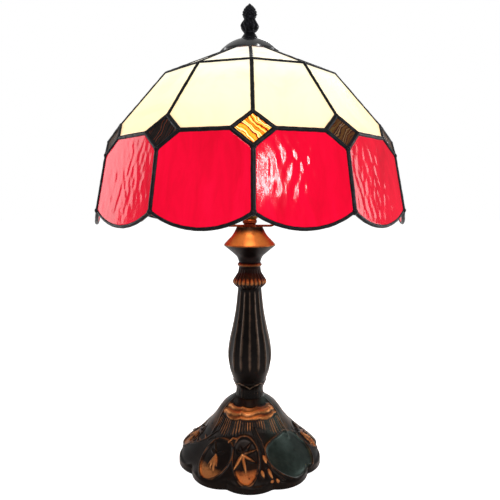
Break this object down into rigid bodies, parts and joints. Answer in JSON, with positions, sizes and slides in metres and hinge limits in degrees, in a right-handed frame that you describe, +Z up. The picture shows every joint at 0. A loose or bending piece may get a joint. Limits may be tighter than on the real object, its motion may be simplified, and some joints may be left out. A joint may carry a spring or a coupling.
{
  "type": "stained glass table lamp",
  "caption": "Table lamp with a scalloped, panelled shade of white and red leaded glass and amber diamonds, on a fluted bronze-finish stand with a lobed foot.",
  "frame": {"origin": "centre of the underside of the felt, on the column's axis", "axes": "+Z up along the column, -Y towards the front, +X to the right"},
  "size_m": [0.308, 0.308, 0.4597],
  "materials": {
    "white_glass": "opalescent sheet glass, creamy white with faint streaks, smooth outside",
    "red_glass": "ruby cathedral glass, rolled with a hammered and rippled surface",
    "amber_glass": "rippled amber glass with dark red-brown streaks",
    "lead": "black patina over lead and solder, satin",
    "black_sheet": "spun sheet with black patina, semi-gloss",
    "black_cast": "cast metal, black-bronze lacquer, semi-gloss",
    "cast_bronze": "cast zinc alloy, near-black bronze finish with copper rubbed through on the high spots",
    "bronze_sheet": "pressed steel, copper-bronze lacquer",
    "brass": "satin brass",
    "zinc_steel": "zinc-plated steel",
    "aluminium": "bright rolled aluminium",
    "phenolic": "black phenolic moulding",
    "card": "brown fibre card sleeve",
    "frosted_glass": "frosted bulb glass",
    "rubber": "black moulded rubber",
    "felt": "dark green pressed felt"
  },
  "bodies": {
    "stand": {"felt_pad": "felt", "foot": "cast_bronze", "cord_bush": "rubber", "lock_washer": "zinc_steel", "lock_nut": "zinc_steel", "tube": "zinc_steel", "leaf_vase": "cast_bronze", "column": "cast_bronze", "collar": "cast_bronze", "bead_ring": "cast_bronze", "cup": "cast_bronze", "harp_saddle": "bronze_sheet", "spool": "bronze_sheet", "harp_bow": "brass", "harp_seat": "brass", "holder_cap": "brass", "holder_shell": "brass", "holder_liner": "card", "holder_body": "phenolic", "screw_shell": "brass", "centre_contact": "brass"},
    "left_sleeve": {"left_sleeve": "brass"},
    "right_sleeve": {"right_sleeve": "brass"},
    "switch": {"switch_knob": "phenolic"},
    "bulb": {"bulb_glass": "frosted_glass", "bulb_cap": "aluminium"},
    "finial": {"finial": "black_cast"},
    "shade": {"shade_cap": "black_sheet", "crown_panes": "white_glass", "diamond_panes": "amber_glass", "seam_lead": "lead", "ring_lead": "lead", "diamond_lead": "lead", "hem_lead": "lead", "dome_pane_1": "white_glass", "dome_pane_2": "white_glass", "dome_pane_3": "white_glass", "dome_pane_4": "white_glass", "dome_pane_5": "white_glass", "dome_pane_6": "white_glass", "dome_pane_7": "white_glass", "dome_pane_8": "white_glass", "dome_pane_9": "white_glass", "dome_pane_10": "white_glass", "dome_pane_11": "white_glass", "dome_pane_12": "white_glass", "skirt_pane_1": "red_glass", "skirt_pane_2": "red_glass", "skirt_pane_3": "red_glass", "skirt_pane_4": "red_glass", "skirt_pane_5": "red_glass", "skirt_pane_6": "red_glass", "skirt_pane_7": "red_glass", "skirt_pane_8": "red_glass", "skirt_pane_9": "red_glass", "skirt_pane_10": "red_glass", "skirt_pane_11": "red_glass", "skirt_pane_12": "red_glass"}
  },
  "joints": [
    {"name": "shade_turn", "type": "hinge", "parent": "stand", "child": "shade", "pos_m": [0, 0, 0.42], "axis": [0, 0, 1], "continuous": true},
    {"name": "finial_lift", "type": "slide", "parent": "stand", "child": "finial", "axis": [0, 0, 1], "range_m": [0, 0.016]},
    {"name": "bulb_turn", "type": "hinge", "parent": "stand", "child": "bulb", "pos_m": [0, 0, 0.3], "axis": [0, 0, 1], "continuous": true},
    {"name": "switch_turn", "type": "hinge", "parent": "stand", "child": "switch", "pos_m": [0, 0.03, 0.2747], "axis": [0, 1, 0], "continuous": true},
    {"name": "left_sleeve_lift", "type": "slide", "parent": "stand", "child": "left_sleeve", "axis": [0, 0, 1], "range_m": [0, 0.007]},
    {"name": "right_sleeve_lift", "type": "slide", "parent": "stand", "child": "right_sleeve", "axis": [0, 0, 1], "range_m": [0, 0.007]}
  ]
}
